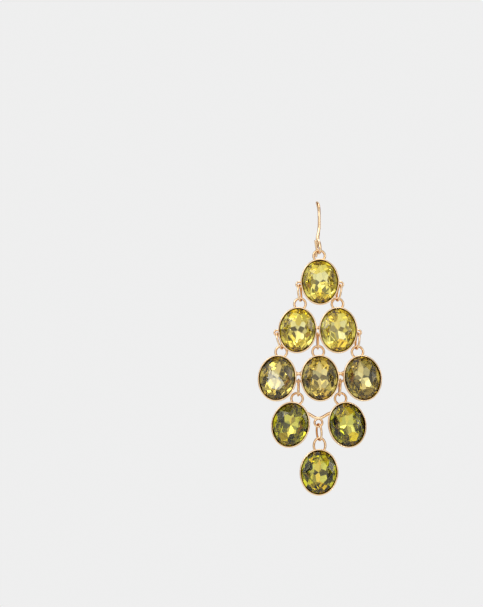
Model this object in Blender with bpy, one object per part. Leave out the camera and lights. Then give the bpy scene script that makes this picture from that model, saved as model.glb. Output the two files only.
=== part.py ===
"""Chandelier drop earring: nine oval stones in cup settings, hung in five rows from an ear hook.

Metres, +Z up, the stones face -Y. The origin is the seat of the hook: the underside of its arc.
"""

import math
from collections import namedtuple

import bmesh
import bpy
from mathutils import Matrix, Vector

# Stones
STONE_WIDTH = 0.0093
STONE_HEIGHT = 0.0114
GIRDLE_THICKNESS = 0.0002
CROWN_HEIGHT = 0.00115
PAVILION_DEPTH = 0.00235
TABLE_SHARE = 0.58
STAR_SHARE = 0.80
LOWER_SHARE = 0.25
FACETS = 8
STONE_RECESS = 0.00025

# Cup settings
SETTING_WALL = 0.00042
SETTING_CLEARANCE = 0.00014
SETTING_FRONT = 0.0023
COLLAR_DEPTH = 0.0012
SETTING_BACK = 0.0019
RIM_CHAMFER = 0.00013
BACK_INSET = 0.0020
BACK_FLOOR = 0.0005
SEAT_WIDTH = 0.0005
SEAT_DEPTH = 0.0008

# Soldered rings, loops and bridges
RING_RADIUS = 0.00155
RING_WIRE = 0.00064
RING_STANDOFF = 0.00095
SIDE_LOOP_RADIUS = 0.00072
SIDE_LOOP_WIRE = 0.0005
SIDE_LOOP_OFFSET = 0.00042
SOLDER_RADIUS = 0.00042
BRIDGE_LOOP_RADIUS = 0.00105
BRIDGE_LOOP_WIRE = 0.0006
BRIDGE_WIRE = 0.00084
BRIDGE_DEPTH = 0.0013
BRIDGE_SAG_SHARE = 0.20
BRIDGE_BURIED_SHARE = 0.9

# Jump rings
JUMP_HEIGHT = 0.00448
JUMP_DEPTH = 0.0022
JUMP_WIRE = 0.00056
LINK_GAP = 0.0001

# Ear hook
HOOK_WIRE = 0.00072
HOOK_RADIUS = 0.0046
HOOK_BOW = 0.0006
STEM_TOP_OFFSET = 0.00005
STEM_OFFSET = 0.00057
STEM_BEND = 0.6
STEM_STEPS = 9
ARC_STEPS = 18
EYE_TOP = 0.0105
EYE_HEIGHT = 0.0036
EYE_WIDTH = 0.0027
EYE_END_STEP = 0.0005
EYE_END_BACK = 0.0007
EYE_SKEW = 0.0003
EYE_TURN_SHARE = 0.96
EYE_STEPS = 22
EYE_PEAK = 0.77
REAR_LEG = 0.0100
REAR_KICK = 0.0008
REAR_SHIFT = 0.00035
REAR_LEAN = -0.0009
REAR_STEPS = 8

SEGMENTS = 32
RING_SIDES = 14
LOOP_SIDES = 12
SOLDER_SIDES = 10
SOLDER_RINGS = 6
BRIDGE_STEPS = 6
WIRE_ROUNDING = 1
HOOK_ROUNDING = 2

SETTING_WIDTH = STONE_WIDTH + 2 * (SETTING_CLEARANCE + SETTING_WALL)
SETTING_HEIGHT = STONE_HEIGHT + 2 * (SETTING_CLEARANCE + SETTING_WALL)
RING_RISE = SETTING_HEIGHT / 2 + RING_STANDOFF
GIRDLE_FRONT = -SETTING_FRONT + STONE_RECESS
GIRDLE_BACK = GIRDLE_FRONT + GIRDLE_THICKNESS
COLLAR_BACK = COLLAR_DEPTH - SETTING_FRONT

# spacing and sway are shares of the setting's width, loop_level of its height, and ring_stretch
# of the ring's radius. leans tip a stone's top to +X and turns swing its face to +X, in degrees.
# link_turns are the turns of the jump rings that hang the row from the one above.
Row = namedtuple("Row", "spacing sway leans turns link_turns loop_level ring_stretch")
ROWS = (
    Row(0.0, 0.010, (-1,), (0,), (), -0.042, 1.0),
    Row(1.034, -0.048, (5, 0), (-3, 3), (-25, 25), -0.042, 1.0),
    Row(1.084, 0.0, (7.5, -3, -8.5), (-6, 0, 6), (-25, 4, 25), 0.018, 1.0),
    Row(1.413, -0.026, (12.5, -11.5), (-8, 8), (-6, 6), 0.0555, 1.0),
    Row(0.0, -0.023, (2,), (0,), (36,), 0.0, 1.36),
)


def clear_scene():
    for obj in list(bpy.data.objects):
        bpy.data.objects.remove(obj, do_unlink=True)


def new_collection(name):
    collection = bpy.data.collections.new(name)
    bpy.context.scene.collection.children.link(collection)
    return collection


def new_material(name, color, roughness, metallic):
    material = bpy.data.materials.new(name)
    material.use_nodes = True
    shader = material.node_tree.nodes["Principled BSDF"]
    shader.inputs["Base Color"].default_value = (*color, 1)
    shader.inputs["Roughness"].default_value = roughness
    shader.inputs["Metallic"].default_value = metallic
    return material


def mesh_object(name, bm, collection):
    """A bmesh as an object of the collection, with its normals facing out."""
    bmesh.ops.recalc_face_normals(bm, faces=bm.faces)
    mesh = bpy.data.meshes.new(name)
    bm.to_mesh(mesh)
    bm.free()
    obj = bpy.data.objects.new(name, mesh)
    collection.objects.link(obj)
    return obj


def oval_ring(bm, inset, depth):
    """One closed ring of vertices, the setting's oval drawn in by inset."""
    across = SETTING_WIDTH / 2 - inset
    up = SETTING_HEIGHT / 2 - inset
    angles = [2 * math.pi * k / SEGMENTS for k in range(SEGMENTS)]
    return [bm.verts.new((across * math.sin(a), depth, up * math.cos(a))) for a in angles]


def lofted_oval(name, sections, collection):
    """A closed solid through ovals of (inset, depth), an equal wall all round that no scaling keeps."""
    bm = bmesh.new()
    rings = [oval_ring(bm, inset, depth) for inset, depth in sections]
    for near, far in zip(rings, rings[1:]):
        for k in range(SEGMENTS):
            after = (k + 1) % SEGMENTS
            bm.faces.new((near[k], near[after], far[after], far[k]))
    bm.faces.new(rings[0])
    bm.faces.new(rings[-1])
    return mesh_object(name, bm, collection)


def wire(name, points, diameter, rounding, closed, collection):
    """A bent round wire along the points, as a mesh with welded ends."""
    curve = bpy.data.curves.new(name, "CURVE")
    curve.dimensions = "3D"
    curve.bevel_depth = diameter / 2
    curve.bevel_resolution = rounding
    curve.use_fill_caps = not closed
    spline = curve.splines.new("POLY")
    spline.points.add(len(points) - 1)
    for place, point in zip(spline.points, points):
        place.co = (*point, 1)
    spline.use_cyclic_u = closed
    guide = bpy.data.objects.new(name + "_guide", curve)
    collection.objects.link(guide)
    graph = bpy.context.evaluated_depsgraph_get()
    mesh = bpy.data.meshes.new_from_object(guide.evaluated_get(graph))
    bpy.data.objects.remove(guide)
    bm = bmesh.new()
    bm.from_mesh(mesh)
    bpy.data.meshes.remove(mesh)
    bmesh.ops.remove_doubles(bm, verts=bm.verts, dist=1e-7)
    return mesh_object(name, bm, collection)


def wire_ring(name, width, height, diameter, sides, collection):
    """A closed wire ring in the XZ plane, width and height measured to the wire's centre."""
    angles = [2 * math.pi * k / sides for k in range(sides)]
    points = [(width / 2 * math.sin(a), 0, height / 2 * math.cos(a)) for a in angles]
    return wire(name, points, diameter, WIRE_ROUNDING, True, collection)


def cut_stone(name, collection):
    """An oval brilliant: table, stars, kites and girdle facets in front, main and girdle facets behind."""
    half_turn = math.pi / FACETS
    kite_slope = CROWN_HEIGHT / (1 - TABLE_SHARE)
    star_height = kite_slope * (1 - STAR_SHARE * math.cos(half_turn))
    lower_depth = PAVILION_DEPTH * (1 - LOWER_SHARE * math.cos(half_turn))
    rings = (
        (TABLE_SHARE, GIRDLE_FRONT - CROWN_HEIGHT, FACETS, half_turn),
        (STAR_SHARE, GIRDLE_FRONT - star_height, FACETS, 0),
        (1, GIRDLE_FRONT, SEGMENTS, 0),
        (1, GIRDLE_BACK, SEGMENTS, 0),
        (LOWER_SHARE, GIRDLE_BACK + lower_depth, FACETS, 0),
        (0, GIRDLE_BACK + PAVILION_DEPTH, 1, 0),
    )
    bm = bmesh.new()
    for share, depth, count, phase in rings:
        for k in range(count):
            a = phase + 2 * math.pi * k / count
            across = share * STONE_WIDTH / 2 * math.sin(a)
            bm.verts.new((across, depth, share * STONE_HEIGHT / 2 * math.cos(a)))
    bmesh.ops.convex_hull(bm, input=bm.verts)
    bmesh.ops.dissolve_limit(bm, angle_limit=math.radians(0.1), verts=bm.verts, edges=bm.edges)
    return mesh_object(name, bm, collection)


def cup_body(name, collection):
    """The cup's outer form: chamfered rim, straight collar, and a cone to the flat back."""
    sections = (
        (RIM_CHAMFER, -SETTING_FRONT),
        (0, RIM_CHAMFER - SETTING_FRONT),
        (0, COLLAR_BACK),
        (BACK_INSET, SETTING_BACK),
    )
    return lofted_oval(name, sections, collection)


def cone_inset(depth):
    """How far the cup's outer wall has drawn in at a depth behind its collar."""
    return BACK_INSET * (depth - COLLAR_BACK) / (SETTING_BACK - COLLAR_BACK)


def cup_hollow(name, collection):
    """The space cut from a cup: the stone's bore, the seat under its girdle and the hollow behind it."""
    seat = SEAT_DEPTH - SETTING_FRONT
    narrow = SETTING_WALL + SEAT_WIDTH
    floor = SETTING_BACK - BACK_FLOOR
    sections = (
        (SETTING_WALL, -2 * SETTING_FRONT),
        (SETTING_WALL, seat),
        (narrow, seat),
        (narrow, COLLAR_BACK),
        (narrow + cone_inset(floor), floor),
    )
    return lofted_oval(name, sections, collection)


def ring_top(row):
    """Height of the top ring's upper wire over the stone's centre."""
    return RING_RISE + RING_RADIUS * row.ring_stretch


def stone_matrix(row, index, origin):
    """Where stone index of a row stands, turned and leaned about its own centre."""
    across = (index - (len(row.leans) - 1) / 2) * row.spacing * SETTING_WIDTH
    turn = Matrix.Rotation(math.radians(row.turns[index]), 4, "Z")
    lean = Matrix.Rotation(math.radians(row.leans[index]), 4, "Y")
    return Matrix.Translation(origin + Vector((across, 0, 0))) @ turn @ lean


def stone_centres(row):
    """Offsets of a row's stones from its origin."""
    return [stone_matrix(row, k, Vector()).translation for k in range(len(row.leans))]


def loops_of(row, following):
    """The loops that carry the row below: (offset, radius, wire), level with each other."""
    if following is None:
        return []
    centres = stone_centres(row)
    level = row.loop_level * SETTING_HEIGHT
    bridges = [
        [(near + far) / 2 + Vector((0, BRIDGE_DEPTH, level)), BRIDGE_LOOP_RADIUS, BRIDGE_LOOP_WIRE]
        for near, far in zip(centres, centres[1:])
    ]
    if len(following.leans) <= len(row.leans):
        return bridges
    reach = Vector((SETTING_WIDTH / 2 + SIDE_LOOP_OFFSET, 0, 0))
    sides = [
        [place + Vector((0, 0, level)), SIDE_LOOP_RADIUS, SIDE_LOOP_WIRE]
        for place in (centres[0] - reach, centres[-1] + reach)
    ]
    return [sides[0], *bridges, sides[1]]


def link_drop(shift):
    """Height between a jump ring's two bearing points when its lower end is shifted sideways."""
    return math.sqrt(JUMP_HEIGHT**2 - shift.x**2 - shift.y**2)


def upper_bearing(origin, loop):
    """Centre of the jump ring's wire where it lies in a loop."""
    offset, radius, loop_wire = loop
    rise = loop_wire / 2 + JUMP_WIRE / 2 + LINK_GAP - radius
    return origin + offset + Vector((0, 0, rise))


def lower_bearing(row, index, origin):
    """Centre of the jump ring's wire where it holds a top ring."""
    top = stone_matrix(row, index, origin) @ Vector((0, 0, ring_top(row)))
    return top - Vector((0, 0, RING_WIRE / 2 + JUMP_WIRE / 2 + LINK_GAP))


def hung_height(row, origin, carrying, loops, outer):
    """Height of a row's origin when its outer top rings hang from the loops above."""
    found = []
    for index in outer:
        above = upper_bearing(carrying, loops[index])
        below = lower_bearing(row, index, origin)
        found.append(above.z - link_drop(below - above) - (below.z - origin.z))
    return sum(found) / len(found)


def lay_out_rows(pivot):
    """Each row's origin and loops, worked down from the hook's eye."""
    first = ROWS[0]
    sway = first.sway * SETTING_WIDTH
    hang = stone_matrix(first, 0, Vector()) @ Vector((0, 0, ring_top(first)))
    origin = Vector((sway, pivot.y, pivot.z - hang.z))
    placed = []
    for row, following in zip(ROWS, (*ROWS[1:], None)):
        loops = loops_of(row, following)
        placed.append((row, origin, loops))
        if following is None:
            break
        wider = len(following.leans) > len(row.leans)
        depth = origin.y if wider else origin.y + BRIDGE_DEPTH
        below = Vector((following.sway * SETTING_WIDTH, depth, origin.z))
        outer = (0, len(loops) - 1)
        below.z = hung_height(following, below, origin, loops, outer)
        for index in range(1, len(loops) - 1):
            bearing = lower_bearing(following, index, below)
            shift = bearing - upper_bearing(origin, loops[index])
            loops[index][0].z += bearing.z + link_drop(shift) - (bearing.z - shift.z)
        origin = below
    return placed


def add_boolean(obj, operation, operands):
    modifier = obj.modifiers.new(operation.lower(), "BOOLEAN")
    modifier.operation = operation
    modifier.operand_type = "COLLECTION"
    modifier.collection = operands
    modifier.solver = "EXACT"


def bridge_points(left, right, loop):
    """The saddle-shaped bar between two neighbouring cups, lowest over its loop."""
    half_length = (right.x - left.x) / 2
    half_gap = half_length - SETTING_WIDTH / 2 + cone_inset(BRIDGE_DEPTH)
    sag = 2 * half_gap * BRIDGE_SAG_SHARE
    crown = loop[0] + Vector((0, 0, loop[1] + BRIDGE_WIRE / 2 - loop[2] / 2))
    points = []
    for k in range(-BRIDGE_STEPS, BRIDGE_STEPS + 1):
        rise = sag * (1 - math.cos(math.pi * k / BRIDGE_STEPS)) / 2
        points.append(crown + Vector((half_gap * k / BRIDGE_STEPS, 0, rise)))
    buried = BRIDGE_BURIED_SHARE * half_length
    ends = [crown + Vector((side * buried, 0, sag)) for side in (-1, 1)]
    return [ends[0], *points, ends[1]]


def solder_blob(name, collection):
    """The drop of solder between a side loop and its cup."""
    bm = bmesh.new()
    bmesh.ops.create_uvsphere(bm, u_segments=SOLDER_SIDES, v_segments=SOLDER_RINGS, radius=SOLDER_RADIUS)
    return mesh_object(name, bm, collection)


def solder_places(row, loops):
    """Where a side loop meets the cone of its cup, in from the loop towards the cup's centre."""
    centres = stone_centres(row)
    places = []
    for offset, radius, _ in loops:
        if radius != SIDE_LOOP_RADIUS:
            continue
        inward = math.copysign(1, centres[0].x + centres[-1].x - 2 * offset.x)
        places.append(offset + Vector((inward * (SIDE_LOOP_OFFSET + SOLDER_RADIUS), 0, 0)))
    return places


def make_row_setting(number, row, origin, loops, parts, cutters):
    """One soldered row: its cups, top rings, loops and bridges, as one solid."""
    name = f"setting_row_{number}"
    joined = bpy.data.collections.new(name + "_joined")
    hollows = bpy.data.collections.new(name + "_hollows")
    cutters.children.link(joined)
    cutters.children.link(hollows)
    body = None
    for index in range(len(row.leans)):
        place = stone_matrix(row, index, origin)
        label = f"{name}_{index + 1}"
        cup = cup_body(label + "_cup", joined if body else parts)
        body = body or cup
        stretched = 2 * RING_RADIUS * row.ring_stretch
        ring = wire_ring(label + "_ring", 2 * RING_RADIUS, stretched, RING_WIRE, RING_SIDES, joined)
        hollow = cup_hollow(label + "_hollow", hollows)
        cup.matrix_world = place
        hollow.matrix_world = place
        ring.matrix_world = place @ Matrix.Translation((0, 0, RING_RISE))
    for index, (offset, radius, loop_wire) in enumerate(loops):
        label = f"{name}_loop_{index + 1}"
        loop = wire_ring(label, 2 * radius, 2 * radius, loop_wire, LOOP_SIDES, joined)
        loop.matrix_world = Matrix.Translation(origin + offset)
    for side in solder_places(row, loops):
        blob = solder_blob(f"{name}_solder", joined)
        blob.matrix_world = Matrix.Translation(origin + side)
    centres = stone_centres(row)
    bridged = [loop for loop in loops if loop[1] == BRIDGE_LOOP_RADIUS]
    for index, loop in enumerate(bridged):
        points = bridge_points(centres[index], centres[index + 1], loop)
        bar = wire(f"{name}_bridge_{index + 1}", points, BRIDGE_WIRE, WIRE_ROUNDING, False, joined)
        bar.matrix_world = Matrix.Translation(origin)
    body.name = name
    add_boolean(body, "UNION", joined)
    add_boolean(body, "DIFFERENCE", hollows)
    return body


def jump_ring_matrix(above, below, turn):
    """A ring's place between its bearing points, its plane upright and turned about them."""
    up = (above - below).normalized()
    facing = Matrix.Rotation(math.radians(90 + turn), 3, "Z") @ Vector((0, -1, 0))
    facing = (facing - up * facing.dot(up)).normalized()
    across = up.cross(facing)
    axes = Matrix((across, -facing, up)).transposed()
    return Matrix.Translation((above + below) / 2) @ axes.to_4x4()


def hook_points():
    """The hook's line: the free end, round the eye, up the stem, over the arc, down the rear leg."""
    front = -HOOK_RADIUS
    eye_y = front - EYE_END_BACK / 2
    arc_z = HOOK_WIRE / 2 - HOOK_RADIUS
    points = []
    for k in range(EYE_STEPS, 0, -1):
        a = 2 * math.pi * EYE_TURN_SHARE * k / EYE_STEPS
        share = a / (2 * math.pi)
        lean = (STEM_OFFSET + EYE_END_STEP / 2) * math.sin(a / 2) + EYE_SKEW * math.sin(a)
        x = lean - STEM_OFFSET - EYE_END_STEP * share
        bulge = EYE_WIDTH / 2 * math.sin(a) * math.sin(a / 2) / EYE_PEAK
        y = eye_y + EYE_END_BACK * share - bulge
        points.append(Vector((x, y, -EYE_TOP - EYE_HEIGHT * (1 - math.cos(a)) / 2)))
    for k in range(STEM_STEPS):
        t = k / STEM_STEPS
        bent = min(1, t / STEM_BEND)
        ease = bent * bent * (3 - 2 * bent)
        x = -STEM_OFFSET + (STEM_OFFSET + STEM_TOP_OFFSET) * ease
        y = eye_y + (front - eye_y) * ease
        points.append(Vector((x, y, -EYE_TOP + (arc_z + EYE_TOP) * t)))
    for k in range(ARC_STEPS + 1):
        a = math.pi * k / ARC_STEPS
        across = (1 - math.cos(a)) / 2
        x = STEM_TOP_OFFSET + (REAR_SHIFT - STEM_TOP_OFFSET) * across - HOOK_BOW * math.sin(a) ** 4
        y = -HOOK_RADIUS * math.cos(a)
        points.append(Vector((x, y, arc_z + HOOK_RADIUS * math.sin(a))))
    for k in range(1, REAR_STEPS + 1):
        t = k / REAR_STEPS
        x = REAR_SHIFT + REAR_LEAN * t**1.5
        points.append(Vector((x, HOOK_RADIUS + REAR_KICK * t**3, arc_z - REAR_LEG * t)))
    return points


def shade(obj, material, smooth):
    obj.data.materials.append(material)
    if smooth:
        obj.data.shade_smooth()
        obj.data.set_sharp_from_angle(angle=math.radians(40))


def hide_helpers(collection):
    for helper in collection.all_objects:
        helper.hide_render = True
        helper.display_type = "WIRE"


def main():
    clear_scene()
    parts = new_collection("chandelier_earring")
    cutters = new_collection("cutters")
    gold = new_material("rose_gold", (0.86, 0.58, 0.38), 0.18, 1.0)
    colors = (
        ("light_yellow_glass", (0.78, 0.74, 0.25)),
        ("light_yellow_glass_2", (0.78, 0.74, 0.25)),
        ("smoky_khaki_glass", (0.62, 0.55, 0.28)),
        ("olive_glass", (0.50, 0.52, 0.12)),
        ("olive_glass_2", (0.50, 0.52, 0.12)),
    )
    glasses = [new_material(name, color, 0.05, 0.0) for name, color in colors]

    hook = wire("ear_hook", hook_points(), HOOK_WIRE, HOOK_ROUNDING, False, parts)
    shade(hook, gold, True)

    eye_bottom = Vector((0, -HOOK_RADIUS, -EYE_TOP - EYE_HEIGHT))
    pivot = eye_bottom + Vector((0, 0, HOOK_WIRE / 2 + RING_WIRE / 2 + LINK_GAP))
    drop = bpy.data.objects.new("drop_pivot", None)
    drop.location = pivot
    parts.objects.link(drop)

    placed = lay_out_rows(pivot)
    hung = []
    stones = 0
    rings = 0
    for number, (row, origin, loops) in enumerate(placed, 1):
        setting = make_row_setting(number, row, origin, loops, parts, cutters)
        shade(setting, gold, True)
        hung.append(setting)
        for index in range(len(row.leans)):
            stones += 1
            stone = cut_stone(f"stone_{stones}", parts)
            stone.matrix_world = stone_matrix(row, index, origin)
            shade(stone, glasses[number - 1], False)
            hung.append(stone)
        if number == len(placed):
            break
        following, below, _ = placed[number]
        for index, loop in enumerate(loops):
            rings += 1
            name = f"jump_ring_{rings}"
            ring = wire_ring(name, JUMP_DEPTH, JUMP_HEIGHT, JUMP_WIRE, RING_SIDES, parts)
            above = upper_bearing(origin, loop)
            bearing = lower_bearing(following, index, below)
            ring.matrix_world = jump_ring_matrix(above, bearing, following.link_turns[index])
            shade(ring, gold, True)
            hung.append(ring)
    hide_helpers(cutters)
    bpy.context.view_layer.update()
    for obj in hung:
        obj.parent = drop
        obj.matrix_parent_inverse = drop.matrix_world.inverted()


main()
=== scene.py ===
import math
import random

import bmesh
import bpy
import numpy as np
from mathutils import Matrix, Vector


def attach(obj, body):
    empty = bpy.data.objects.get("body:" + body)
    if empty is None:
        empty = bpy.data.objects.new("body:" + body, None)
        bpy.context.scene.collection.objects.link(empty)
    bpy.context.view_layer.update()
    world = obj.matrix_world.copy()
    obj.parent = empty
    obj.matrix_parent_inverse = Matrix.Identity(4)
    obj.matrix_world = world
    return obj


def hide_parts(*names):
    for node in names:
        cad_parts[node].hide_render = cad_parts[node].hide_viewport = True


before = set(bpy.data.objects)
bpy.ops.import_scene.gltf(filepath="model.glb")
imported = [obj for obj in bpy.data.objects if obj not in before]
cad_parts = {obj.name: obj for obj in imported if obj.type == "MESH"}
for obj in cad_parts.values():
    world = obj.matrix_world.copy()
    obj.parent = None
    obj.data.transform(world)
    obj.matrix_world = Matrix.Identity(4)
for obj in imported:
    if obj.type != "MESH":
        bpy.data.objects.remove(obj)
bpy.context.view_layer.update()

world = bpy.context.scene.world or bpy.data.worlds.new("studio")
bpy.context.scene.world = world


# Node helpers, for shaders and for geometry

def feed(tree, slot, value):
    if isinstance(value, Plug):
        tree.links.new(value.socket, slot)
    else:
        slot.default_value = value


class Plug:                                         # one output socket, so that sums read as sums
    def __init__(self, tree, socket):
        self.tree = tree
        self.socket = socket

    def maths(self, operation, left, right=0.0):
        made = self.tree.nodes.new("ShaderNodeMath")
        made.operation = operation
        feed(self.tree, made.inputs[0], left)
        feed(self.tree, made.inputs[1], right)
        return Plug(self.tree, made.outputs[0])

    def __add__(self, other):
        return self.maths("ADD", self, other)

    def __sub__(self, other):
        return self.maths("SUBTRACT", self, other)

    def __mul__(self, other):
        return self.maths("MULTIPLY", self, other)


class Graph:                                        # a node tree that is built call by call
    def __init__(self, tree):
        self.tree = tree

    def node(self, kind, settings=None, inputs=None, output=0):
        made = self.tree.nodes.new(kind)
        for name, value in (settings or {}).items():
            if name == "stops":
                setStops(made.color_ramp, value)
            else:
                setattr(made, name, value)
        for name, value in (inputs or {}).items():
            feed(self.tree, made.inputs[name], value)
        return Plug(self.tree, made.outputs[output])

    def blend(self, share, first, second):          # colours mixed by share
        return self.node("ShaderNodeMix", {"data_type": "RGBA"}, {0: share, 6: first, 7: second}, 2)


def setStops(ramp, stops):
    while len(ramp.elements) < len(stops):
        ramp.elements.new(1)
    for element, (place, color) in zip(ramp.elements, stops):
        element.position = place
        element.color = (*color, 1)


def newMaterial(name):
    material = bpy.data.materials.new(name)
    material.use_nodes = True
    graph = Graph(material.node_tree)
    shader = material.node_tree.nodes["Principled BSDF"]
    return material, graph, shader


def newShape(name, sockets):                        # an empty geometry tree and its named inputs
    tree = bpy.data.node_groups.new(name, "GeometryNodeTree")
    for label, kind, default in sockets:
        socket = tree.interface.new_socket(name=label, in_out="INPUT", socket_type="NodeSocket" + kind)
        if default is not None:
            socket.default_value = default
    tree.interface.new_socket(name="Geometry", in_out="OUTPUT", socket_type="NodeSocketGeometry")
    source = tree.nodes.new("NodeGroupInput")
    plugs = {socket.name: Plug(tree, socket) for socket in source.outputs if socket.name}
    return tree, Graph(tree), plugs


def endShape(tree, graph, mesh, material):          # smooth, realised and in its material
    smooth = graph.node("GeometryNodeSetShadeSmooth", None, {"Geometry": mesh})
    real = graph.node("GeometryNodeRealizeInstances", None, {"Geometry": smooth})
    dressed = graph.node("GeometryNodeSetMaterial", None, {"Geometry": real, "Material": material})
    output = tree.nodes.new("NodeGroupOutput")
    tree.links.new(dressed.socket, output.inputs[0])


def grow(tree, values):                             # the tree's result as a plain mesh
    holder = bpy.data.objects.new("holder", bpy.data.meshes.new("holder"))
    bpy.context.scene.collection.objects.link(holder)
    modifier = holder.modifiers.new("shape", "NODES")
    modifier.node_group = tree
    for item in tree.interface.items_tree:
        if item.in_out == "INPUT" and item.name in values:
            modifier[item.identifier] = values[item.name]
    graph = bpy.context.evaluated_depsgraph_get()
    mesh = bpy.data.meshes.new_from_object(holder.evaluated_get(graph))
    holder.modifiers.clear()
    bpy.data.objects.remove(holder)
    mesh.materials.clear()
    mesh.materials.append(values["Metal"])
    mesh.polygons.foreach_set("material_index", [0] * len(mesh.polygons))
    return mesh


def joinPieces(name, pieces, materials):            # meshes with their places, as one object
    joined = bmesh.new()
    for mesh, place in pieces:
        part = bmesh.new()
        part.from_mesh(mesh)
        part.transform(place)
        part.normal_update()
        bmesh.ops.recalc_face_normals(part, faces=part.faces)
        moved = bpy.data.meshes.new("moved")
        part.to_mesh(moved)
        part.free()
        joined.from_mesh(moved)
        bpy.data.meshes.remove(moved)
    mesh = bpy.data.meshes.new(name)
    joined.to_mesh(mesh)
    joined.free()
    for material in materials:
        mesh.materials.append(material)
    obj = bpy.data.objects.new(name, mesh)
    bpy.context.scene.collection.objects.link(obj)
    return obj


# Metal

goldLook = {
    "light": (1.0, 0.86, 0.63, 1),
    "deep": (0.82, 0.54, 0.26, 1),
    "mottle": 420,                                  # patches a metre
    "rough": 0.12,
    "roughSpread": 0.10,
    "ripple": 700,
    "rippleDepth": 0.000003,
}
paintedShadeLook = {                                       # painted shade: a deeper, darker gold on the inner side of each ring and link, where they lie in shade
    "light": (0.86, 0.48, 0.18, 1),
    "deep": (0.58, 0.27, 0.07, 1),
    "mottle": 900,
    "rough": 0.18,
    "roughSpread": 0.14,
    "ripple": 900,
    "rippleDepth": 0.000004,
}
paintedShadeCupLook = {                                       # painted shade: near-black gold inside the cups, behind the stones, where shade falls
    "light": (0.20, 0.08, 0.012, 1),
    "deep": (0.08, 0.03, 0.004, 1),
    "mottle": 900,
    "rough": 0.35,
    "roughSpread": 0.2,
    "ripple": 900,
    "rippleDepth": 0.00001,
}
metalNoise = {"mottleDetail": 3.0, "rippleDetail": 2.0, "bumpStrength": 0.6}


def makeGold(name, look):
    material, graph, shader = newMaterial(name)
    place = graph.node("ShaderNodeTexCoord", output="Object")
    mottle = {"Vector": place, "Scale": look["mottle"], "Detail": metalNoise["mottleDetail"]}
    patches = graph.node("ShaderNodeTexNoise", None, mottle)
    ripple = {"Vector": place, "Scale": look["ripple"], "Detail": metalNoise["rippleDetail"]}
    waves = graph.node("ShaderNodeTexNoise", None, ripple)
    color = graph.blend(patches, look["deep"], look["light"])
    relief = {"Strength": metalNoise["bumpStrength"], "Distance": look["rippleDepth"], "Height": waves}
    bump = graph.node("ShaderNodeBump", None, relief)
    feed(graph.tree, shader.inputs["Base Color"], color)
    feed(graph.tree, shader.inputs["Roughness"], patches * look["roughSpread"] + look["rough"])
    feed(graph.tree, shader.inputs["Normal"], bump)
    shader.inputs["Metallic"].default_value = 1
    return material


roseGold = makeGold("roseGold", goldLook)
paintedShadeGold = makeGold("paintedShadeGold", paintedShadeLook)
paintedShadeCupGold = makeGold("paintedShadeCupGold", paintedShadeCupLook)
metals = (roseGold, paintedShadeGold, paintedShadeCupGold)
print("metal made")


# Geometry trees for the wire and for the cups

ringSockets = (
    ("Width", "Float", 0.003), ("Height", "Float", 0.003), ("Wire", "Float", 0.0006),
    ("Steps", "Int", 48), ("Sides", "Int", 14), ("Metal", "Material", None),
)


def sectionCircle(graph, plugs):                    # the round section of a wire
    sizes = {"Resolution": plugs["Sides"], "Radius": plugs["Wire"] * 0.5}
    return graph.node("GeometryNodeCurvePrimitiveCircle", None, sizes)


def makeRingTree():
    tree, graph, plugs = newShape("wireRing", ringSockets)
    sizes = {"Resolution": plugs["Steps"], "Radius": 0.5}
    circle = graph.node("GeometryNodeCurvePrimitiveCircle", None, sizes)
    place = graph.node("GeometryNodeInputPosition")
    split = graph.node("ShaderNodeSeparateXYZ", None, {0: place})
    across = split * plugs["Width"]
    up = Plug(tree, split.socket.node.outputs[1]) * plugs["Height"]
    upright = graph.node("ShaderNodeCombineXYZ", None, {"X": across, "Z": up})
    bent = graph.node("GeometryNodeSetPosition", None, {"Geometry": circle, "Position": upright})
    section = sectionCircle(graph, plugs)
    mesh = graph.node("GeometryNodeCurveToMesh", None, {"Curve": bent, "Profile Curve": section})
    endShape(tree, graph, mesh, plugs["Metal"])
    return tree


strandSockets = (
    ("Path", "Object", None), ("Wire", "Float", 0.0007), ("Sides", "Int", 16), ("Metal", "Material", None),
)


def makeStrandTree():
    tree, graph, plugs = newShape("wireStrand", strandSockets)
    path = graph.node("GeometryNodeObjectInfo", None, {"Object": plugs["Path"]}, "Geometry")
    section = sectionCircle(graph, plugs)
    scale = graph.node("GeometryNodeInputRadius")
    links = {"Curve": path, "Profile Curve": section, "Fill Caps": True, "Scale": scale}
    mesh = graph.node("GeometryNodeCurveToMesh", None, links)
    endShape(tree, graph, mesh, plugs["Metal"])
    return tree


cupSockets = (
    ("Profile", "Object", None), ("Half Width", "Float", 0.005), ("Half Height", "Float", 0.006),
    ("Steps", "Int", 96), ("Merge", "Float", 0.000002), ("Metal", "Material", None),
)


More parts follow.
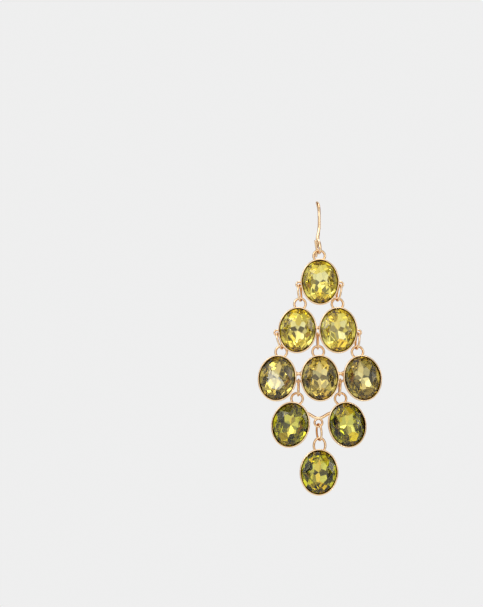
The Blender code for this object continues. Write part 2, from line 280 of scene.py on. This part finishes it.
def makeCupTree():
    tree, graph, plugs = newShape("ovalCup", cupSockets)
    profile = graph.node("GeometryNodeObjectInfo", None, {"Object": plugs["Profile"]}, "Geometry")
    rows = graph.node("GeometryNodeAttributeDomainSize", None, {"Geometry": profile}, "Point Count")
    sizes = {"Size X": 1.0, "Size Y": 1.0, "Vertices X": plugs["Steps"] + 1, "Vertices Y": rows}
    grid = graph.node("GeometryNodeMeshGrid", None, sizes)
    place = graph.node("GeometryNodeInputPosition")
    split = graph.node("ShaderNodeSeparateXYZ", None, {0: place})
    turn = (split + 0.5) * (2 * math.pi)
    along = (Plug(tree, split.socket.node.outputs[1]) + 0.5) * (rows - 1)
    index = along.maths("ROUND", along)
    sampling = {"data_type": "FLOAT_VECTOR", "domain": "POINT", "clamp": True}
    sampled = {"Geometry": profile, "Value": place, "Index": index}
    point = graph.node("GeometryNodeSampleIndex", sampling, sampled)
    inset = graph.node("ShaderNodeSeparateXYZ", None, {0: point})
    depth = Plug(tree, inset.socket.node.outputs[1])
    share = Plug(tree, inset.socket.node.outputs[2])
    across = (plugs["Half Width"] - inset) * share * turn.maths("SINE", turn)
    up = (plugs["Half Height"] - inset) * share * turn.maths("COSINE", turn)
    laid = graph.node("ShaderNodeCombineXYZ", None, {"X": across, "Y": depth, "Z": up})
    bent = graph.node("GeometryNodeSetPosition", None, {"Geometry": grid, "Position": laid})
    merging = {"Geometry": bent, "Distance": plugs["Merge"]}
    closed = graph.node("GeometryNodeMergeByDistance", None, merging)
    endShape(tree, graph, closed, plugs["Metal"])
    return tree


ringTree = makeRingTree()
strandTree = makeStrandTree()
cupTree = makeCupTree()
print("geometry trees made")


# Where everything is, read from the frame

stoneSizes = {                                      # as the solids have them, but for the extra facets
    "halfWidth": 0.00465, "halfHeight": 0.0057, "crown": 0.00115, "girdle": 0.0002,
    "pavilion": 0.00235, "recess": 0.00025, "table": 0.58, "star": 0.80,
    "mainSlopes": (0.68, 0.76, 0.62, 0.72), "lowerSlope": 1.65, "lowerShare": 0.5,
    "middleStart": 0.12, "middleSlope": 1.05, "tipDepth": 0.92, "tipSlope": 0.42,
    "unevenness": 0.07, "blankSteps": 96, "foilFrom": 0.25,
}
cupSizes = {
    "front": 0.0023, "collar": 0.0012, "back": 0.0019, "wall": 0.00042, "backInset": 0.0020,
    "clearance": 0.00014, "seat": 0.0008, "seatWidth": 0.0005, "floor": 0.0005,
    "rimRound": 0.00019, "rimOuterShare": 1.1, "edgeRound": 0.0005, "seatRound": 0.00005,
    "collarRound": 0.0002, "floorRound": 0.0003, "floorRun": 0.0004, "backRun": 0.0009,
    "innerEdge": 0.00026, "steps": 112, "cornerSteps": 6, "cornerReach": 0.49,
}
cupTurns = (                                        # row, turn and lean in degrees, one for each stone
    (1, 0, -1), (2, -3, 5), (2, 3, 0), (3, -6, 7.5), (3, 0, -3), (3, 6, -8.5), (4, -8, 12.5), (4, 8, -11.5),
    (5, 0, 2),
)
loopKinds = (                                       # what carries each jump ring
    "side", "side", "side", "bridge", "side", "bridge", "bridge", "bridge",
)
loopRows = (1, 1, 2, 2, 2, 3, 3, 4)

cupSizes["halfWidth"] = stoneSizes["halfWidth"] + cupSizes["clearance"] + cupSizes["wall"]
cupSizes["halfHeight"] = stoneSizes["halfHeight"] + cupSizes["clearance"] + cupSizes["wall"]


def nodePoints(name):
    return np.array([vertex.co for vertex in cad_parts[name].data.vertices])


def cupPlace(number, turn, lean):                   # the cup's own axes, measured on its stone
    turned = Matrix.Rotation(math.radians(turn), 3, "Z") @ Matrix.Rotation(math.radians(lean), 3, "Y")
    inverse = np.array(turned.transposed())
    local = nodePoints("stone_%d" % number) @ inverse.T
    low, high = local.min(axis=0), local.max(axis=0)
    front = cupSizes["front"] - stoneSizes["recess"] + stoneSizes["crown"]
    middle = Vector(((low[0] + high[0]) / 2, low[1] + front, (low[2] + high[2]) / 2))
    return Matrix.Translation(turned @ middle) @ turned.to_4x4()


def linkPlace(number):                              # a jump ring's centre, axes and size, from its solid
    points = nodePoints("jump_ring_%d" % number)
    middle = points.mean(axis=0)
    _, axes = np.linalg.eigh(np.cov((points - middle).T))
    up = Vector(axes[:, 2])
    if up.z < 0:
        up.negate()
    normal = Vector(axes[:, 0])
    across = normal.cross(up)
    turned = Matrix((across, -normal, up)).transposed()
    local = (points - middle) @ np.array(turned)
    size = local.max(axis=0) - local.min(axis=0)
    return Vector(middle), turned, size


cupPlaces = [cupPlace(number, turn, lean) for number, (_, turn, lean) in enumerate(cupTurns, 1)]
linkPlaces = [linkPlace(number) for number in range(1, len(loopKinds) + 1)]


# Cups

def roundCorners(corners, steps):                   # corners of (inset, depth, radius)
    points = []
    for before, (x, y, radius), after in zip(corners, corners[1:], corners[2:]):
        corner = Vector((x, y))
        back = Vector(before[:2]) - corner
        ahead = Vector(after[:2]) - corner
        most = cupSizes["cornerReach"]
        reach = min(radius, back.length * most, ahead.length * most)
        start = corner + back.normalized() * reach
        end = corner + ahead.normalized() * reach
        for k in range(steps + 1):
            t = k / steps
            points.append(start * (1 - t) ** 2 + corner * 2 * t * (1 - t) + end * t ** 2)
    return [Vector(corners[0][:2]), *points, Vector(corners[-1][:2])]


def makeCupProfile(sizes):                          # from the floor round the rim to the back's middle
    collarBack = sizes["collar"] - sizes["front"]
    slope = sizes["backInset"] / (sizes["back"] - collarBack)
    narrow = sizes["wall"] + sizes["seatWidth"]
    floor = sizes["back"] - sizes["floor"]
    seat = sizes["seat"] - sizes["front"]
    floorInset = narrow + slope * (floor - collarBack)
    front = -sizes["front"]
    corners = (
        (floorInset + sizes["floorRun"], floor, 0),
        (floorInset, floor, sizes["floorRound"]),
        (narrow, collarBack, sizes["collarRound"]),
        (narrow, seat, sizes["seatRound"]),
        (sizes["wall"], seat, sizes["seatRound"]),
        (sizes["wall"], front, sizes["rimRound"]),
        (0, front, sizes["rimRound"] * sizes["rimOuterShare"]),
        (0, collarBack, sizes["edgeRound"]),
        (sizes["backInset"], sizes["back"], sizes["edgeRound"]),
        (sizes["backInset"] + sizes["backRun"], sizes["back"], 0),
    )
    walls = [(point.x, point.y, 1) for point in roundCorners(corners, sizes["cornerSteps"])]
    start = (walls[0][0], walls[0][1], 0)
    end = (walls[-1][0], walls[-1][1], 0)
    mesh = bpy.data.meshes.new("cupProfile")
    mesh.from_pydata([start, *walls, end], [], [])
    profile = bpy.data.objects.new("cupProfile", mesh)
    bpy.context.scene.collection.objects.link(profile)
    return profile


def coneInset(depth):                               # how far the cup's back cone has narrowed there
    collarBack = cupSizes["collar"] - cupSizes["front"]
    return cupSizes["backInset"] * (depth - collarBack) / (cupSizes["back"] - collarBack)


cupProfile = makeCupProfile(cupSizes)
cupValues = {
    "Profile": cupProfile, "Half Width": cupSizes["halfWidth"], "Half Height": cupSizes["halfHeight"],
    "Steps": cupSizes["steps"], "Metal": roseGold,
}
cupMesh = grow(cupTree, cupValues)
bpy.data.objects.remove(cupProfile)
cupMesh.materials.append(paintedShadeGold)
cupMesh.materials.append(paintedShadeCupGold)
for polygon in cupMesh.polygons:                    # everything inside the rim is dark, in painted shade
    spot = polygon.center
    share = math.hypot(spot.x / cupSizes["halfWidth"], spot.z / cupSizes["halfHeight"])
    outer = max(0, coneInset(spot.y)) + cupSizes["innerEdge"]
    if spot.y < cupSizes["back"] - cupSizes["floor"] / 2 and (1 - share) * cupSizes["halfWidth"] > outer:
        polygon.material_index = 2
print("cup made with", len(cupMesh.polygons), "faces")


# Rings, loops and bridges, joined to the cups of each row

ringSizes = {
    "radius": 0.00155, "wire": 0.00064, "standoff": 0.00095, "stretch": {5: 1.36}, "paintedShadeShare": 0.98,
}
loopSizes = {
    "side": {"radius": 0.00072, "wire": 0.0005},
    "bridge": {"radius": 0.00105, "wire": 0.0006},
}
linkSizes = {"wire": 0.00056, "gap": 0.0001}
bridgeSizes = {"wire": 0.00084, "sag": 0.20, "reach": 0.62, "steps": 48}
solderSizes = {"radius": 0.00042, "offset": 0.00042, "around": 20, "along": 12}
leastRadius = 0.05                                  # of a wire's full radius, at its very end


def ringMesh(width, height, wire):                  # its side towards the hole is of the deeper gold of painted shade
    mesh = grow(ringTree, {"Width": width, "Height": height, "Wire": wire, "Metal": roseGold})
    mesh.materials.append(paintedShadeGold)
    for polygon in mesh.polygons:
        spot = polygon.center
        if math.hypot(2 * spot.x / width, 2 * spot.z / height) < ringSizes["paintedShadeShare"]:
            polygon.material_index = 1
    return mesh


def strandMesh(points, wire, rounded=0):            # a wire, its ends rounded over some of its points
    curve = bpy.data.curves.new("path", "CURVE")
    curve.dimensions = "3D"
    spline = curve.splines.new("POLY")
    spline.points.add(len(points) - 1)
    last = len(points) - 1
    for k, (place, point) in enumerate(zip(spline.points, points)):
        place.co = (*point, 1)
        near = min(k, last - k)
        share = min(1, near / rounded) if rounded else 1
        place.radius = max(leastRadius, math.sqrt(1 - (1 - share) ** 2))
    path = bpy.data.objects.new("path", curve)
    bpy.context.scene.collection.objects.link(path)
    mesh = grow(strandTree, {"Path": path, "Wire": wire, "Metal": roseGold})
    bpy.data.objects.remove(path)
    return mesh


def blobMesh(sizes):
    blob = bmesh.new()
    around, along = sizes["around"], sizes["along"]
    bmesh.ops.create_uvsphere(blob, u_segments=around, v_segments=along, radius=sizes["radius"])
    for face in blob.faces:
        face.smooth = True
    mesh = bpy.data.meshes.new("solder")
    blob.to_mesh(mesh)
    blob.free()
    mesh.materials.append(roseGold)
    return mesh


def loopPlace(link):                                # the loop that carries a jump ring
    middle, turned, size = linkPlaces[link]
    kind = loopSizes[loopKinds[link]]
    top = middle + turned @ Vector((0, 0, size[2] / 2 - linkSizes["wire"] / 2))
    rise = kind["wire"] / 2 + linkSizes["wire"] / 2 + linkSizes["gap"] - kind["radius"]
    return top - Vector((0, 0, rise))


def bridgePoints(left, right, loop):                # the saddle-shaped bar over a bridge's loop
    kind = loopSizes["bridge"]
    half = (right.x - left.x) / 2
    depth = loop.y - left.y
    gap = half - cupSizes["halfWidth"] + coneInset(depth)
    sag = 2 * gap * bridgeSizes["sag"]
    rise = kind["radius"] + (bridgeSizes["wire"] - kind["wire"]) / 2
    middle = Vector(((left.x + right.x) / 2, loop.y, loop.z + rise))
    reach = half * bridgeSizes["reach"]
    points = []
    for k in range(-bridgeSizes["steps"], bridgeSizes["steps"] + 1):
        x = reach * k / bridgeSizes["steps"]
        share = min(1, abs(x) / gap)
        points.append(middle + Vector((x, 0, sag * (1 - math.cos(math.pi * share)) / 2)))
    return points


def makeRow(row):
    pieces = []
    members = [k for k, (owner, _, _) in enumerate(cupTurns) if owner == row]
    stretch = ringSizes["stretch"].get(row, 1)
    top = ringMesh(2 * ringSizes["radius"], 2 * ringSizes["radius"] * stretch, ringSizes["wire"])
    rise = cupSizes["halfHeight"] + ringSizes["standoff"]
    for k in members:
        pieces.append((cupMesh, cupPlaces[k]))
        pieces.append((top, cupPlaces[k] @ Matrix.Translation((0, 0, rise))))
    centres = [cupPlaces[k].translation for k in members]
    for link, owner in enumerate(loopRows):
        if owner != row:
            continue
        kind = loopSizes[loopKinds[link]]
        place = loopPlace(link)
        diameter = 2 * kind["radius"]
        pieces.append((ringMesh(diameter, diameter, kind["wire"]), Matrix.Translation(place)))
        nearest = min(centres, key=lambda centre: abs(centre.x - place.x))
        if loopKinds[link] == "side":
            inward = math.copysign(solderSizes["offset"] + solderSizes["radius"], nearest.x - place.x)
            solder = Matrix.Translation(place + Vector((inward, 0, 0)))
            pieces.append((blobMesh(solderSizes), solder))
        else:
            left = max((c for c in centres if c.x < place.x), key=lambda c: c.x)
            right = min((c for c in centres if c.x > place.x), key=lambda c: c.x)
            bar = strandMesh(bridgePoints(left, right, place), bridgeSizes["wire"])
            pieces.append((bar, Matrix.Identity(4)))
    setting = joinPieces("rowSetting%d" % row, pieces, metals)
    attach(setting, "drop")
    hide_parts("setting_row_%d" % row)


for row in range(1, 6):
    makeRow(row)
print("rows of cups made")


# Jump rings

def makeLink(link):
    middle, turned, size = linkPlaces[link]
    wire = linkSizes["wire"]
    mesh = ringMesh(size[0] - wire, size[2] - wire, wire)
    place = Matrix.Translation(middle) @ turned.to_4x4()
    piece = joinPieces("linkRing%d" % (link + 1), [(mesh, place)], metals[:2])
    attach(piece, "drop")
    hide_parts("jump_ring_%d" % (link + 1))


for link in range(len(loopKinds)):
    makeLink(link)
print("jump rings made")


# Ear hook

hookSizes = {
    "wire": 0.00072, "radius": 0.0046, "bow": 0.0006, "topOffset": 0.00005, "stemOffset": 0.00057,
    "eyeTop": 0.0105, "eyeHeight": 0.0036, "eyeWidth": 0.0027, "endStep": 0.0005, "endBack": 0.0007,
    "skew": 0.0003, "eyeShare": 0.96, "eyePeak": 0.77, "rearLeg": 0.0100, "rearKick": 0.0008,
    "rearShift": 0.00035, "rearLean": -0.0009, "stemBend": 0.6,
    "eyeSteps": 72, "stemSteps": 30, "arcSteps": 60, "legSteps": 40, "roundedSteps": 2,
}


def hookLine(sizes):
    front = -sizes["radius"]
    eyeY = front - sizes["endBack"] / 2
    arcZ = sizes["wire"] / 2 - sizes["radius"]
    points = []
    for k in range(sizes["eyeSteps"], 0, -1):       # the free end and the eye
        a = 2 * math.pi * sizes["eyeShare"] * k / sizes["eyeSteps"]
        share = a / (2 * math.pi)
        lean = (sizes["stemOffset"] + sizes["endStep"] / 2) * math.sin(a / 2)
        lean += sizes["skew"] * math.sin(a)
        x = lean - sizes["stemOffset"] - sizes["endStep"] * share
        bulge = sizes["eyeWidth"] / 2 * math.sin(a) * math.sin(a / 2) / sizes["eyePeak"]
        z = -sizes["eyeTop"] - sizes["eyeHeight"] * (1 - math.cos(a)) / 2
        points.append(Vector((x, eyeY + sizes["endBack"] * share - bulge, z)))
    for k in range(sizes["stemSteps"]):             # the stem
        t = k / sizes["stemSteps"]
        bent = min(1, t / sizes["stemBend"])
        ease = bent * bent * (3 - 2 * bent)
        x = -sizes["stemOffset"] + (sizes["stemOffset"] + sizes["topOffset"]) * ease
        z = -sizes["eyeTop"] + (arcZ + sizes["eyeTop"]) * t
        points.append(Vector((x, eyeY + (front - eyeY) * ease, z)))
    for k in range(sizes["arcSteps"] + 1):          # the arc through the ear
        a = math.pi * k / sizes["arcSteps"]
        across = (1 - math.cos(a)) / 2
        x = sizes["topOffset"] + (sizes["rearShift"] - sizes["topOffset"]) * across
        x -= sizes["bow"] * math.sin(a) ** 4
        z = arcZ + sizes["radius"] * math.sin(a)
        points.append(Vector((x, -sizes["radius"] * math.cos(a), z)))
    for k in range(1, sizes["legSteps"] + 1):       # the rear leg
        t = k / sizes["legSteps"]
        x = sizes["rearShift"] + sizes["rearLean"] * t ** 1.5
        y = sizes["radius"] + sizes["rearKick"] * t ** 3
        points.append(Vector((x, y, arcZ - sizes["rearLeg"] * t)))
    return points


hookMesh = strandMesh(hookLine(hookSizes), hookSizes["wire"], hookSizes["roundedSteps"])
hook = joinPieces("hookWire", [(hookMesh, Matrix.Identity(4))], (roseGold,))
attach(hook, "hook")
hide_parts("ear_hook")
print("hook made")


# Stones

def cutStone(sizes, seeded):                        # an oval brilliant, cut from a round blank
    eighth = math.pi / 4
    half = eighth / 2
    kiteSlope = sizes["crown"] / (1 - sizes["table"])
    starHeight = kiteSlope * (1 - sizes["star"] * math.cos(half))
    girdle = sizes["girdle"]
    blank = bmesh.new()
    steps = sizes["blankSteps"]
    bmesh.ops.create_cone(blank, cap_ends=True, segments=steps, radius1=1, radius2=1, depth=2)
    for vertex in blank.verts:                      # depth runs from the table in front to the culet behind
        front = vertex.co.z < 0
        vertex.co.z = -sizes["crown"] if front else girdle + sizes["pavilion"]

    def polar(share, angle, depth):
        return Vector((share * math.sin(angle), share * math.cos(angle), depth))

    planes = []
    for k in range(8):
        star = k * eighth
        kite = star + half
        alongStar, alongKite = star + math.pi / 2, kite + math.pi / 2
        planes.append((polar(1, kite, 0), polar(sizes["table"], kite, -sizes["crown"]), alongKite))
        edge = polar(sizes["table"] * math.cos(half), star, -sizes["crown"])
        planes.append((edge, polar(sizes["star"], star, -starHeight), alongStar))
        uneven = seeded.uniform(-sizes["unevenness"], sizes["unevenness"])
        flat = sizes["mainSlopes"][k % len(sizes["mainSlopes"])] + uneven
        outer = polar(1, star, girdle + sizes["pavilion"] * (1 - flat))
        planes.append((outer, polar(0, 0, girdle + sizes["pavilion"]), alongStar))
        ledge, reach = sizes["middleStart"], sizes["middleSlope"]
        outer = polar(1, kite, girdle + ledge * sizes["pavilion"])
        inner = polar(0, kite, girdle + (ledge + reach) * sizes["pavilion"])
        planes.append((outer, inner, alongKite))
        tip, slope = sizes["tipDepth"], sizes["tipSlope"] - uneven
        outer = polar(1, kite, girdle + (tip - slope) * sizes["pavilion"])
        planes.append((outer, polar(0, kite, girdle + tip * sizes["pavilion"]), alongKite))
        for side in (-1, 1):
            peak = polar(sizes["star"], star, -starHeight)
            planes.append((peak, polar(1, star, 0), polar(1, star + side * half, 0)))
            between = star + side * half / 2
            share = sizes["lowerShare"]
            inner = polar(share, between, girdle + share * sizes["lowerSlope"] * sizes["pavilion"])
            planes.append((polar(1, between, girdle), inner, between + math.pi / 2))
    middle = Vector((0, 0, girdle / 2))
    for first, second, third in planes:
        if not isinstance(third, Vector):           # a facet that runs level along its own tangent
            third = first + Vector((math.sin(third), math.cos(third), 0))
        normal = (second - first).cross(third - first).normalized()
        if normal.dot(first - middle) < 0:
            normal.negate()
        geometry = blank.verts[:] + blank.edges[:] + blank.faces[:]
        plane = {"plane_co": first, "plane_no": normal}
        cut = bmesh.ops.bisect_plane(blank, geom=geometry, dist=1e-9, clear_outer=True, **plane)
        edges = [item for item in cut["geom_cut"] if isinstance(item, bmesh.types.BMEdge)]
        if edges:
            bmesh.ops.contextual_create(blank, geom=edges)
    bmesh.ops.remove_doubles(blank, verts=blank.verts, dist=1e-6)
    for vertex in blank.verts:
        x, z, y = vertex.co
        vertex.co = (x * sizes["halfWidth"], y, z * sizes["halfHeight"])
    blank.normal_update()
    bmesh.ops.recalc_face_normals(blank, faces=blank.faces)
    return blank


stoneSeeds = (121, 62, 63, 104, 105, 56, 117, 28, 9)     # each stone's own draw of facets and tones
facetLook = {                                       # painted reflections: each facet's foil is bright or dark and warm or cool, darker and cooler towards the sides
    "tone": 1.05, "toneFall": 0.45, "toneSpread": (-0.8, 0.4),
    "warmth": 0.7, "warmthFall": 1.2, "warmthSpread": (-0.4, 0.4),
}


def makeStone(number, crown, foil):
    place = cupPlaces[number - 1]
    seeded = random.Random(stoneSeeds[number - 1])
    blank = cutStone(stoneSizes, seeded)
    shift = stoneSizes["recess"] - cupSizes["front"]
    tone = blank.faces.layers.float.new("facetTone")
    warmth = blank.faces.layers.float.new("facetWarmth")
    # painted reflections: each facet's brightness and warmth, darker and cooler towards the sides, with a
    # random share
    for face in blank.faces:
        spot = face.calc_center_median()
        face.material_index = 1 if spot.y > stoneSizes["foilFrom"] * stoneSizes["girdle"] else 0
        sideways = abs(spot.x) / max(1e-6, math.hypot(spot.x, spot.z))
        bright = facetLook["tone"] - facetLook["toneFall"] * sideways ** 3
        face[tone] = min(1, max(0, bright + seeded.uniform(*facetLook["toneSpread"])))
        warm = facetLook["warmth"] - facetLook["warmthFall"] * sideways
        face[warmth] = min(1, max(0, warm + seeded.uniform(*facetLook["warmthSpread"])))
    for vertex in blank.verts:
        vertex.co.y += shift
    blank.transform(place)
    mesh = bpy.data.meshes.new("cutStone%d" % number)
    blank.to_mesh(mesh)
    blank.free()
    mesh.materials.append(crown)
    mesh.materials.append(foil)
    stone = bpy.data.objects.new("cutStone%d" % number, mesh)
    bpy.context.scene.collection.objects.link(stone)
    return stone


stoneLooks = {                                      # the glass in front and the foil behind it
    "yellow": {"glass": (0.99, 0.98, 0.86), "foil": (1.0, 0.96, 0.50), "foilWarm": (0.96, 0.73, 0.08),
               "foilPaintedShade": (0.45, 0.38, 0.07)},
    "khaki": {"glass": (0.98, 0.95, 0.78), "foil": (0.92, 0.83, 0.42), "foilWarm": (0.78, 0.60, 0.20),
              "foilPaintedShade": (0.16, 0.145, 0.06)},
    "olive": {"glass": (0.97, 0.97, 0.80), "foil": (0.82, 0.80, 0.16), "foilWarm": (0.84, 0.58, 0.07),
              "foilPaintedShade": (0.11, 0.105, 0.032)},
}
glassLook = {"clouds": 300.0, "cloudShare": 0.96, "ior": 1.56}
foilRough = 0.03


def makeGlass(name, look):
    material, graph, shader = newMaterial(name + "Glass")
    place = graph.node("ShaderNodeTexCoord", output="Object")
    cloud = graph.node("ShaderNodeTexNoise", None, {"Vector": place, "Scale": glassLook["clouds"]})
    darker = (*(glassLook["cloudShare"] * c for c in look["glass"]), 1)
    color = graph.blend(cloud, (*look["glass"], 1), darker)
    feed(graph.tree, shader.inputs["Base Color"], color)
    shader.inputs["Roughness"].default_value = 0.0
    shader.inputs["IOR"].default_value = glassLook["ior"]
    shader.inputs["Transmission Weight"].default_value = 1
    return material


def makeFoil(name, look):
    material, graph, shader = newMaterial(name + "Foil")
    # painted reflections: the facets run from the dark painted shade colour to the bright foil
    tone = graph.node("ShaderNodeAttribute", {"attribute_name": "facetTone"}, None, "Fac")
    warmth = graph.node("ShaderNodeAttribute", {"attribute_name": "facetWarmth"}, None, "Fac")
    bright = graph.blend(warmth, (*look["foil"], 1), (*look["foilWarm"], 1))
    color = graph.blend(tone, (*look["foilPaintedShade"], 1), bright)
    feed(graph.tree, shader.inputs["Base Color"], color)
    shader.inputs["Metallic"].default_value = 1
    shader.inputs["Roughness"].default_value = foilRough
    return material


stoneMaterials = {}
for name, look in stoneLooks.items():
    stoneMaterials[name] = (makeGlass(name, look), makeFoil(name, look))
stoneColors = ("yellow", "yellow", "yellow", "khaki", "khaki", "khaki", "olive", "olive", "olive")
for number, color in enumerate(stoneColors, 1):
    stone = makeStone(number, *stoneMaterials[color])
    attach(stone, "drop")
    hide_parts("stone_%d" % number)
print("stones cut")


# Floor, light and camera

stageSizes = {
    "floorLevel": -0.7, "floorRadius": 3.0, "floorSteps": 96, "pale": (0.86, 0.86, 0.86, 1),
    "glow": 0.98, "rough": 0.9, "shine": 0.1,
}


def makeFloor(sizes):
    disc = bmesh.new()
    steps, radius = sizes["floorSteps"], sizes["floorRadius"]
    bmesh.ops.create_circle(disc, cap_ends=True, segments=steps, radius=radius)
    mesh = bpy.data.meshes.new("floor")
    disc.to_mesh(mesh)
    disc.free()
    material, graph, shader = newMaterial("paleFloor")
    shader.inputs["Base Color"].default_value = sizes["pale"]
    shader.inputs["Roughness"].default_value = sizes["rough"]
    shader.inputs["Specular IOR Level"].default_value = sizes["shine"]
    glow = graph.node("ShaderNodeEmission", None, {"Color": sizes["pale"]})     # as pale as the backdrop
    mixed = graph.node("ShaderNodeMixShader", None, {0: sizes["glow"], 2: glow})
    graph.tree.links.new(shader.outputs[0], mixed.socket.node.inputs[1])
    graph.tree.links.new(mixed.socket, graph.tree.nodes["Material Output"].inputs[0])
    mesh.materials.append(material)
    floor = bpy.data.objects.new("floor", mesh)
    floor.location.z = sizes["floorLevel"]
    bpy.context.scene.collection.objects.link(floor)


makeFloor(stageSizes)

lampLooks = (                                       # name, place, size, brightness, colour
    ("keyLamp", (-0.34, -0.40, 0.26), 0.26, 3.2, (1, 1, 1)),
    ("fillLamp", (0.42, -0.30, 0.05), 0.20, 2.2, (1.0, 0.96, 0.9)),
    ("topLamp", (0.05, 0.05, 0.45), 0.30, 3.0, (1, 1, 1)),
    ("sparkLamp", (0.12, -0.50, -0.16), 0.03, 14.0, (1, 1, 0.96)),
    ("tableLamp", (-0.125, -0.54, -0.030), 0.03, 5.0, (0.92, 0.97, 1)),
)
lampAim = Vector((0, 0, -0.045))


def makeLamp(name, place, size, brightness, color):
    data = bpy.data.lights.new(name, "AREA")
    data.shape = "DISK"
    data.size = size
    data.energy = brightness * math.pi * math.pi * (size / 2) ** 2
    data.color = color
    lamp = bpy.data.objects.new(name, data)
    lamp.location = place
    lamp.rotation_euler = (lampAim - Vector(place)).to_track_quat("-Z", "Y").to_euler()
    lamp.visible_camera = False
    bpy.context.scene.collection.objects.link(lamp)


for lampLook in lampLooks:
    makeLamp(*lampLook)

worldLook = {
    "backdrop": (0.86, 0.86, 0.86, 1),
    "round": (                                      # round the stones, from straight ahead to their right
        (0.0, (1.32, 1.30, 1.27)), (0.06, (1.25, 1.23, 1.20)), (0.09, (0.25, 0.24, 0.22)),
        (0.13, (0.25, 0.24, 0.22)), (0.16, (1.5, 1.5, 1.5)), (0.22, (1.3, 1.28, 1.25)),
        (0.25, (0.30, 0.13, 0.04)), (0.42, (0.26, 0.10, 0.03)), (0.46, (0.75, 0.72, 0.68)),
        (0.54, (0.75, 0.72, 0.68)), (0.58, (0.26, 0.10, 0.03)), (0.75, (0.30, 0.13, 0.04)),
        (0.78, (0.95, 0.93, 0.90)), (0.84, (0.95, 0.93, 0.90)), (0.87, (0.25, 0.24, 0.22)),
        (0.91, (0.25, 0.24, 0.22)), (0.94, (1.25, 1.23, 1.20)), (1.0, (1.32, 1.30, 1.27)),
    ),
    "height": ((0.0, (0.55, 0.36, 0.22)), (0.38, (0.60, 0.50, 0.42)), (0.55, (1, 1, 1))),
}


def makeWorld(look):
    world.use_nodes = True
    world.node_tree.nodes.clear()
    graph = Graph(world.node_tree)
    direction = graph.node("ShaderNodeTexCoord", output="Generated")
    split = graph.node("ShaderNodeSeparateXYZ", None, {0: direction})
    back = Plug(graph.tree, split.socket.node.outputs[1])
    up = Plug(graph.tree, split.socket.node.outputs[2])
    turn = split.maths("ARCTAN2", split, back) * (0.5 / math.pi) + 0.5      # 0 and 1 are straight ahead
    turned = turn.maths("FRACT", turn)
    roundZone = graph.node("ShaderNodeValToRGB", {"stops": look["round"]}, {0: turned})
    heightZone = graph.node("ShaderNodeValToRGB", {"stops": look["height"]}, {0: up * 0.5 + 0.5})
    product = graph.node("ShaderNodeMix", {"data_type": "RGBA", "blend_type": "MULTIPLY"},
                         {0: 1.0, 6: roundZone, 7: heightZone}, 2)
    rays = graph.node("ShaderNodeLightPath", output="Is Camera Ray")
    seen = graph.blend(rays, product, look["backdrop"])
    background = graph.node("ShaderNodeBackground", None, {"Color": seen, "Strength": 1.0})
    output = graph.tree.nodes.new("ShaderNodeOutputWorld")
    graph.tree.links.new(background.socket, output.inputs[0])


makeWorld(worldLook)

photo = {"width": 483, "height": 607, "metresPerPixel": 0.00027, "originX": 319.6, "originY": 200.1}
cameraSizes = {"lens": 120, "sensor": 36, "below": 5, "aimDepth": -0.006, "nearest": 0.01}


def makeCamera():
    data = bpy.data.cameras.new("camera")
    data.lens = cameraSizes["lens"]
    data.sensor_width = cameraSizes["sensor"]
    data.clip_start = cameraSizes["nearest"]
    distance = photo["height"] * photo["metresPerPixel"] * data.lens / data.sensor_width
    x = (photo["width"] / 2 - photo["originX"]) * photo["metresPerPixel"]
    z = (photo["originY"] - photo["height"] / 2) * photo["metresPerPixel"]
    rise = math.radians(cameraSizes["below"])
    target = Vector((x, cameraSizes["aimDepth"], z))
    camera = bpy.data.objects.new("camera", data)
    camera.location = target - distance * Vector((0, math.cos(rise), math.sin(rise)))
    camera.rotation_euler = (target - camera.location).to_track_quat("-Z", "Y").to_euler()
    bpy.context.scene.collection.objects.link(camera)
    bpy.context.scene.camera = camera


makeCamera()
scene = bpy.context.scene
scene.view_settings.view_transform = "Standard"
scene.cycles.max_bounces = 16
scene.cycles.glossy_bounces = 12
scene.cycles.transmission_bounces = 12
print("studio made")
